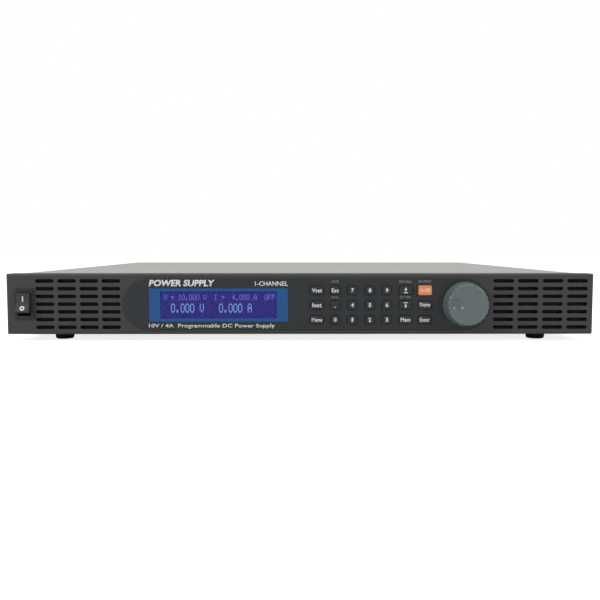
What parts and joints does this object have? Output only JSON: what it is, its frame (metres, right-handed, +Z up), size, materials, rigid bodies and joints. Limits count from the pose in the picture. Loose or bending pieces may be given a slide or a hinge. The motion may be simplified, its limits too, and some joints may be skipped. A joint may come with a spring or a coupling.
{
  "type": "bench power supply",
  "caption": "Flat rack-height DC supply with a wide charcoal front: rocker switch, vent slots, blue display, keypad and large knob on a raised panel; inlet, fans and output bars behind.",
  "frame": {"origin": "on the floor under the middle of the whole object's box", "axes": "+X to the right seen from the front, +Y to the rear, +Z up"},
  "size_m": [0.4214, 0.475, 0.0487],
  "materials": {
    "zinc_steel": "zinc-plated folded steel sheet",
    "cover_paint": "light warm grey paint with a fine texture",
    "screw_steel": "zinc-plated screws",
    "foot_rubber": "black rubber",
    "bezel_plastic": "charcoal moulded plastic, fine grain",
    "panel_plastic": "dark slate moulded plastic",
    "clear_window": "clear hard-coated window",
    "lcd": "blue-violet lit display",
    "silicone": "grey silicone rubber",
    "circuit_board": "green solder mask",
    "ribbon": "grey flat cable",
    "black_plastic": "black moulded plastic",
    "plated_wire": "bright plated wire",
    "brass": "plain brass",
    "plated_shell": "nickel-plated shell",
    "green_plastic": "green terminal plastic",
    "copper": "bare copper, tin brushed",
    "white_nylon": "natural nylon",
    "capacitor_sleeve": "dark blue shrink sleeve",
    "aluminium": "extruded aluminium",
    "ferrite": "dark ferrite with taped windings",
    "knob_plastic": "grey soft-touch plastic",
    "key_plastic": "dark grey silicone key",
    "output_key_plastic": "orange key"
  },
  "bodies": {
    "case": {"bottom_chassis": "zinc_steel", "top_cover": "cover_paint", "case_screws": "screw_steel", "feet": "foot_rubber", "foot_screws": "screw_steel", "front_bezel": "bezel_plastic", "control_panel": "panel_plastic", "display_window": "clear_window", "lcd_module": "lcd", "keypad_mat": "silicone", "front_board": "circuit_board", "ribbon_cable": "ribbon", "encoder_body": "black_plastic", "switch_housing": "black_plastic", "fan_frames": "black_plastic", "fan_guards": "plated_wire", "fan_screws": "screw_steel", "ac_inlet": "black_plastic", "ground_stud": "brass", "interface_board": "circuit_board", "usb_port": "plated_shell", "data_jacks": "plated_shell", "dsub_connector": "plated_shell", "sense_terminal_block": "green_plastic", "output_insulator": "black_plastic", "output_bars": "copper", "main_board": "circuit_board", "standoffs": "white_nylon", "bulk_capacitors": "capacitor_sleeve", "heatsinks": "aluminium", "power_transformers": "ferrite", "chokes": "ferrite"},
    "rocker": {"rocker": "black_plastic"},
    "encoder_pusher": {"encoder_pusher": "white_nylon"},
    "knob": {"knob": "knob_plastic", "encoder_shaft": "plated_shell"},
    "key_vset": {"key_vset": "key_plastic"},
    "key_iset": {"key_iset": "key_plastic"},
    "key_menu": {"key_menu": "key_plastic"},
    "key_esc": {"key_esc": "key_plastic"},
    "key_dot": {"key_dot": "key_plastic"},
    "key_0": {"key_0": "key_plastic"},
    "key_7": {"key_7": "key_plastic"},
    "key_4": {"key_4": "key_plastic"},
    "key_1": {"key_1": "key_plastic"},
    "key_8": {"key_8": "key_plastic"},
    "key_5": {"key_5": "key_plastic"},
    "key_2": {"key_2": "key_plastic"},
    "key_9": {"key_9": "key_plastic"},
    "key_6": {"key_6": "key_plastic"},
    "key_3": {"key_3": "key_plastic"},
    "key_recall": {"key_recall": "key_plastic"},
    "key_store": {"key_store": "key_plastic"},
    "key_mem": {"key_mem": "key_plastic"},
    "key_output": {"key_output": "output_key_plastic"},
    "key_display": {"key_display": "key_plastic"},
    "key_enter": {"key_enter": "key_plastic"},
    "fan_rotor_1": {"fan_rotor_1": "black_plastic"},
    "fan_rotor_2": {"fan_rotor_2": "black_plastic"},
    "fan_rotor_3": {"fan_rotor_3": "black_plastic"}
  },
  "joints": [
    {"name": "rocker_tilt", "type": "hinge", "parent": "case", "child": "rocker", "pos_m": [-0.1977, -0.222, 0.0269], "axis": [1, 0, 0], "range_deg": [0, 22]},
    {"name": "knob_push", "type": "slide", "parent": "case", "child": "encoder_pusher", "axis": [0, 1, 0], "range_m": [0, 0.0006], "stiffness_N_per_m": 1500, "springref_m": -0.001},
    {"name": "knob_turn", "type": "hinge", "parent": "encoder_pusher", "child": "knob", "pos_m": [0.1181, -0.2375, 0.0269], "axis": [0, 1, 0], "continuous": true},
    {"name": "key_vset_press", "type": "slide", "parent": "case", "child": "key_vset", "axis": [0, 1, 0], "range_m": [0, 0.0012], "stiffness_N_per_m": 500, "springref_m": -0.001},
    {"name": "key_iset_press", "type": "slide", "parent": "case", "child": "key_iset", "axis": [0, 1, 0], "range_m": [0, 0.0012], "stiffness_N_per_m": 500, "springref_m": -0.001},
    {"name": "key_menu_press", "type": "slide", "parent": "case", "child": "key_menu", "axis": [0, 1, 0], "range_m": [0, 0.0012], "stiffness_N_per_m": 500, "springref_m": -0.001},
    {"name": "key_esc_press", "type": "slide", "parent": "case", "child": "key_esc", "axis": [0, 1, 0], "range_m": [0, 0.0012], "stiffness_N_per_m": 500, "springref_m": -0.001},
    {"name": "key_dot_press", "type": "slide", "parent": "case", "child": "key_dot", "axis": [0, 1, 0], "range_m": [0, 0.0012], "stiffness_N_per_m": 500, "springref_m": -0.001},
    {"name": "key_0_press", "type": "slide", "parent": "case", "child": "key_0", "axis": [0, 1, 0], "range_m": [0, 0.0012], "stiffness_N_per_m": 500, "springref_m": -0.001},
    {"name": "key_7_press", "type": "slide", "parent": "case", "child": "key_7", "axis": [0, 1, 0], "range_m": [0, 0.0012], "stiffness_N_per_m": 500, "springref_m": -0.001},
    {"name": "key_4_press", "type": "slide", "parent": "case", "child": "key_4", "axis": [0, 1, 0], "range_m": [0, 0.0012], "stiffness_N_per_m": 500, "springref_m": -0.001},
    {"name": "key_1_press", "type": "slide", "parent": "case", "child": "key_1", "axis": [0, 1, 0], "range_m": [0, 0.0012], "stiffness_N_per_m": 500, "springref_m": -0.001},
    {"name": "key_8_press", "type": "slide", "parent": "case", "child": "key_8", "axis": [0, 1, 0], "range_m": [0, 0.0012], "stiffness_N_per_m": 500, "springref_m": -0.001},
    {"name": "key_5_press", "type": "slide", "parent": "case", "child": "key_5", "axis": [0, 1, 0], "range_m": [0, 0.0012], "stiffness_N_per_m": 500, "springref_m": -0.001},
    {"name": "key_2_press", "type": "slide", "parent": "case", "child": "key_2", "axis": [0, 1, 0], "range_m": [0, 0.0012], "stiffness_N_per_m": 500, "springref_m": -0.001},
    {"name": "key_9_press", "type": "slide", "parent": "case", "child": "key_9", "axis": [0, 1, 0], "range_m": [0, 0.0012], "stiffness_N_per_m": 500, "springref_m": -0.001},
    {"name": "key_6_press", "type": "slide", "parent": "case", "child": "key_6", "axis": [0, 1, 0], "range_m": [0, 0.0012], "stiffness_N_per_m": 500, "springref_m": -0.001},
    {"name": "key_3_press", "type": "slide", "parent": "case", "child": "key_3", "axis": [0, 1, 0], "range_m": [0, 0.0012], "stiffness_N_per_m": 500, "springref_m": -0.001},
    {"name": "key_recall_press", "type": "slide", "parent": "case", "child": "key_recall", "axis": [0, 1, 0], "range_m": [0, 0.0012], "stiffness_N_per_m": 500, "springref_m": -0.001},
    {"name": "key_store_press", "type": "slide", "parent": "case", "child": "key_store", "axis": [0, 1, 0], "range_m": [0, 0.0012], "stiffness_N_per_m": 500, "springref_m": -0.001},
    {"name": "key_mem_press", "type": "slide", "parent": "case", "child": "key_mem", "axis": [0, 1, 0], "range_m": [0, 0.0012], "stiffness_N_per_m": 500, "springref_m": -0.001},
    {"name": "key_output_press", "type": "slide", "parent": "case", "child": "key_output", "axis": [0, 1, 0], "range_m": [0, 0.0012], "stiffness_N_per_m": 500, "springref_m": -0.001},
    {"name": "key_display_press", "type": "slide", "parent": "case", "child": "key_display", "axis": [0, 1, 0], "range_m": [0, 0.0012], "stiffness_N_per_m": 500, "springref_m": -0.001},
    {"name": "key_enter_press", "type": "slide", "parent": "case", "child": "key_enter", "axis": [0, 1, 0], "range_m": [0, 0.0012], "stiffness_N_per_m": 500, "springref_m": -0.001},
    {"name": "fan_rotor_1_spin", "type": "hinge", "parent": "case", "child": "fan_rotor_1", "pos_m": [-0.10876, 0.1923, 0.0268], "axis": [0, 1, 0], "continuous": true},
    {"name": "fan_rotor_2_spin", "type": "hinge", "parent": "case", "child": "fan_rotor_2", "pos_m": [-0.06076, 0.1923, 0.0268], "axis": [0, 1, 0], "continuous": true},
    {"name": "fan_rotor_3_spin", "type": "hinge", "parent": "case", "child": "fan_rotor_3", "pos_m": [-0.01276, 0.1923, 0.0268], "axis": [0, 1, 0], "continuous": true}
  ]
}
